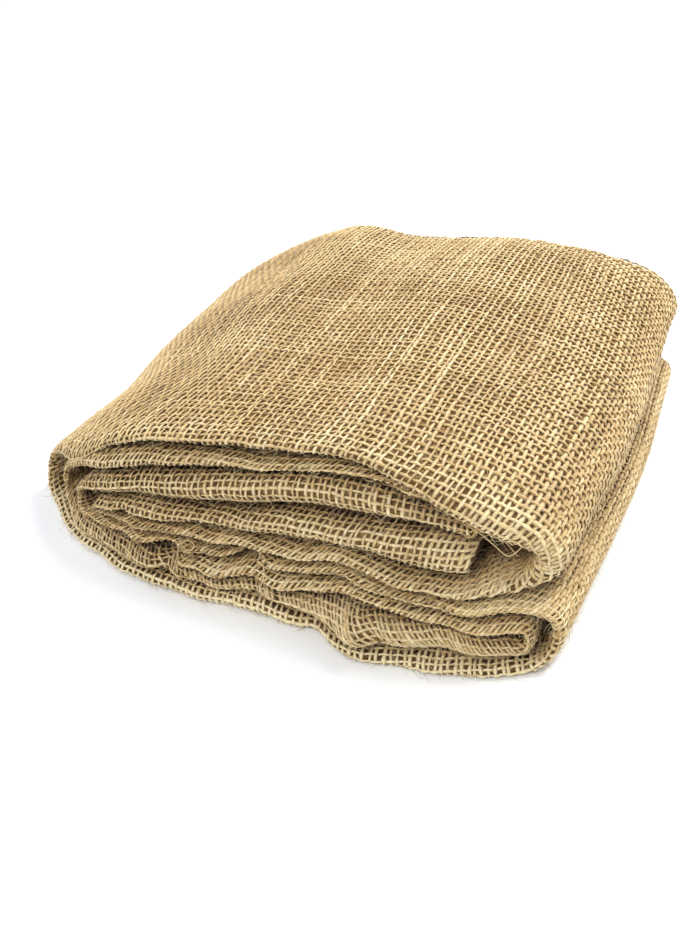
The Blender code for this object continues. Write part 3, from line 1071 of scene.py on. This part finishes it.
def makeFuzz(roots, material):
    random = np.random.default_rng(fuzz["seed"])
    root, normal, ahead = roots
    count = len(root)
    one = (count, 1)
    ahead = ofLengthOne(ahead) * random.choice((-1, 1), one)
    side = np.cross(ahead, normal)
    rise = random.uniform(*fuzz["rise"], one) ** 1.3
    way = ofLengthOne(ahead + side * random.normal(0, fuzz["spread"], one) + normal * rise)
    bend = side * random.normal(0, fuzz["bend"], one) - normal * random.uniform(*fuzz["droop"], one)
    length = random.uniform(*fuzz["length"], one) * random.uniform(0.5, 1, one)
    steps = fuzz["steps"]
    centre = np.empty((count, steps, 3))
    for k in range(steps):
        t = k / (steps - 1)
        curl = fuzz["curl"] * np.sin(random.uniform(0, 6, one) + 3 * t)
        along = way * t + bend * (0.55 * t * t) + side * curl * t
        centre[:, k] = root + normal * fuzz["offYarn"] + length * along
    centre[..., 2] = np.maximum(centre[..., 2], fuzz["leastHeight"])
    tangent = ofLengthOne(np.gradient(centre, axis=1))
    first = ofLengthOne(np.cross(tangent, normal[:, None] + 0.01))
    second = np.cross(tangent, first)
    taper = fuzz["radius"] * (1 - fuzz["taper"] * np.linspace(0, 1, steps))[None, :, None]
    points = cornersRound(centre, first * taper, second * taper, 3).reshape(-1, 3)
    index = np.arange(count * steps * 3).reshape(count, steps, 3)
    faces = facesBetween(index[:, :-1], index[:, 1:])
    faces += index[:, 0, ::-1].tolist() + index[:, -1].tolist()
    piece = joinedMesh("loose_fibres", (points * mm).tolist(), faces, material)
    tone = np.repeat(random.normal(*fuzz["tone"], count), steps * 3)
    paintYarns(piece, tone, np.stack((tone * 9, tone * 5, tone * 31), axis=-1))
    print("loose fibres", count, "with", count * ((steps - 1) * 6 + 2), "triangles")
    return piece


# Stray yarns that hang out of the folds: places in the tables' frame, in mm
strays = {
    "radius": 0.27,
    "steps": 7,  # to a stretch
    "sides": 5,
    "tone": 0.62,
    "lines": (
        ((-57, -142, 21), (-55.4, -146, 24), (-54.3, -145, 27.4), (-50.8, -143.4, 29.2),
         (-46.4, -144.4, 28.6), (-46.9, -146.4, 26.2), (-51.3, -145.8, 25.3), (-58, -141, 27)),
        ((-8, -143, 33), (-7, -148, 31.5), (-4, -148.8, 30.4), (-2.9, -150.8, 26.6),
         (-3.7, -153.5, 21.6)),
        ((86, -117, 62), (89.3, -122.3, 61.4), (96, -122.5, 58.7), (103.8, -123.3, 53.9),
         (110.3, -123, 49.1), (114.8, -119.7, 51.9), (118, -114, 56)),
        ((88, -116, 59), (92.6, -120.7, 59.4), (99.9, -120, 59), (107.3, -119.5, 54.3),
         (113.3, -118, 46)),
        ((90, -114, 51), (97, -119, 53), (104, -117, 59), (111, -114, 61), (117, -109, 58)),
    ),
}


def makeStrays(material):
    points, faces = [], []
    count = strays["sides"]
    radius = strays["radius"]
    for line in strays["lines"]:
        knots = np.array(line, float) - (*strip["middle"], 0)
        at = np.linspace(0, len(line) - 1, (len(line) - 1) * strays["steps"] + 1)
        columns = [smoothThrough(range(len(line)), column, at) for column in knots.T]
        centre = np.stack(columns, axis=-1)
        ahead = ofLengthOne(np.gradient(centre, axis=0))
        side = ofLengthOne(np.cross(ahead, (0.1, 0.9, 0.4)))  # no line runs that way
        over = np.cross(ahead, side)
        index = len(points) + np.arange(len(centre) * count).reshape(-1, count)
        points += cornersRound(centre, side * radius, over * radius, count).reshape(-1, 3).tolist()
        faces += facesBetween(index[:-1], index[1:])
        faces += [index[0, ::-1].tolist(), index[-1].tolist()]
    points = np.array(points)
    piece = joinedMesh("stray_yarns", (points * mm).tolist(), faces, material)
    paintYarns(piece, np.full(len(points), strays["tone"]), points)
    print("stray yarns", len(strays["lines"]))
    return piece


studio = {
    "floorHalf": 3.0,
    "floorColour": "#EBEDF0",
    "skyColour": "#FAFBFF",
    "sky": 0.66,
    "aim": 0.04,  # the height the lamps point at, in m
}
lamps = (
    # name, place, size, power, colour: all aimed at the stack
    ("softbox", (0.6, 0.95, 1.25), 0.8, 34.0, "#FFFCF4"),
    ("fill", (-0.15, -1.2, 1.4), 0.8, 17.5, "#FFFAF0"),
    ("window", (-1.5, 0.7, 0.8), 1.0, 9.0, "#D6E4FF"),
)


def makeStudio():
    scene = bpy.context.scene
    scene.view_settings.view_transform = "Standard"
    world = bpy.data.worlds.new("studio")
    scene.world = world
    world.use_nodes = True
    sky = world.node_tree.nodes["Background"]
    sky.inputs["Color"].default_value = toLinear(studio["skyColour"])
    sky.inputs["Strength"].default_value = studio["sky"]
    for name, place, size, power, colour in lamps:
        light = bpy.data.lights.new(name, "AREA")
        light.shape = "DISK"
        light.size = size
        light.energy = power
        light.color = toLinear(colour)[:3]
        lamp = bpy.data.objects.new(name, light)
        lamp.location = place
        toStack = Vector((0, 0, studio["aim"])) - Vector(place)
        lamp.rotation_euler = toStack.to_track_quat("-Z", "Y").to_euler()
        scene.collection.objects.link(lamp)
    bpy.ops.object.select_all(action="DESELECT")
    bpy.ops.mesh.primitive_plane_add(size=2 * studio["floorHalf"], location=(0, 0, 0))
    floor = bpy.context.object
    floor.name = "floor"
    # matt paper has no gloss, so the stack leaves only its soft shadow on it
    material, tree, shader = newMaterial("matt white paper sweep")
    shader.inputs["Base Color"].default_value = toLinear(studio["floorColour"])
    shader.inputs["Roughness"].default_value = 0.9
    floor.data.materials.append(material)


camera = {
    "place": (0.21204407, -0.46449099, 0.35438887),  # in the tables' frame, in m
    "azimuth": 27.457,
    "elevation": 35.381,
    "roll": -5.028,
    "focal": 1028.3,  # in pixels of the 700 by 933 picture
    "tall": 933,
    "sensor": 36,
}


def makeCamera():
    az, el, roll = (math.radians(camera[key]) for key in ("azimuth", "elevation", "roll"))
    forward = Vector((-math.sin(az) * math.cos(el), math.cos(az) * math.cos(el), -math.sin(el)))
    right = Vector((math.cos(az), math.sin(az), 0))
    up = right.cross(forward)
    across = right * math.cos(roll) + up * math.sin(roll)
    upright = up * math.cos(roll) - right * math.sin(roll)
    place = Vector(camera["place"]) - Vector((*strip["middle"], 0)) * mm
    lens = bpy.data.cameras.new("camera")
    lens.sensor_width = camera["sensor"]
    lens.lens = camera["focal"] * camera["sensor"] / camera["tall"]
    eye = bpy.data.objects.new("camera", lens)
    eye.matrix_world = Matrix((
        (across.x, upright.x, -forward.x, place.x),
        (across.y, upright.y, -forward.y, place.y),
        (across.z, upright.z, -forward.z, place.z),
        (0, 0, 0, 1),
    ))
    bpy.context.scene.collection.objects.link(eye)
    bpy.context.scene.camera = eye


makeCamera()
makeStudio()
print("camera and studio ready")
route, spans = makeRoute()
cloth = makeCloth(route, spans)
clothSheet, sheetRings, sheetB = makeSheet(cloth, spans)
print("sheet made", len(clothSheet.data.polygons) * 2, "triangles")
bpy.context.view_layer.update()
tree = BVHTree.FromObject(clothSheet, bpy.context.evaluated_depsgraph_get())
view = openToView(cloth, tree)
shadeSheet(clothSheet, cloth, sheetRings, sheetB, view)
print("seen share", round(float(view["seen"].mean()), 3))
yarnMaterial = juteYarn()
yarnPieces, fuzzRoots = makeNet(cloth, view, yarnMaterial)
yarnPieces.append(makeFuzz(fuzzRoots, yarnMaterial))
yarnPieces.append(makeStrays(yarnMaterial))
for piece in [clothSheet, *yarnPieces]:
    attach(piece, "root")
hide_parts("folded_jute_cloth")
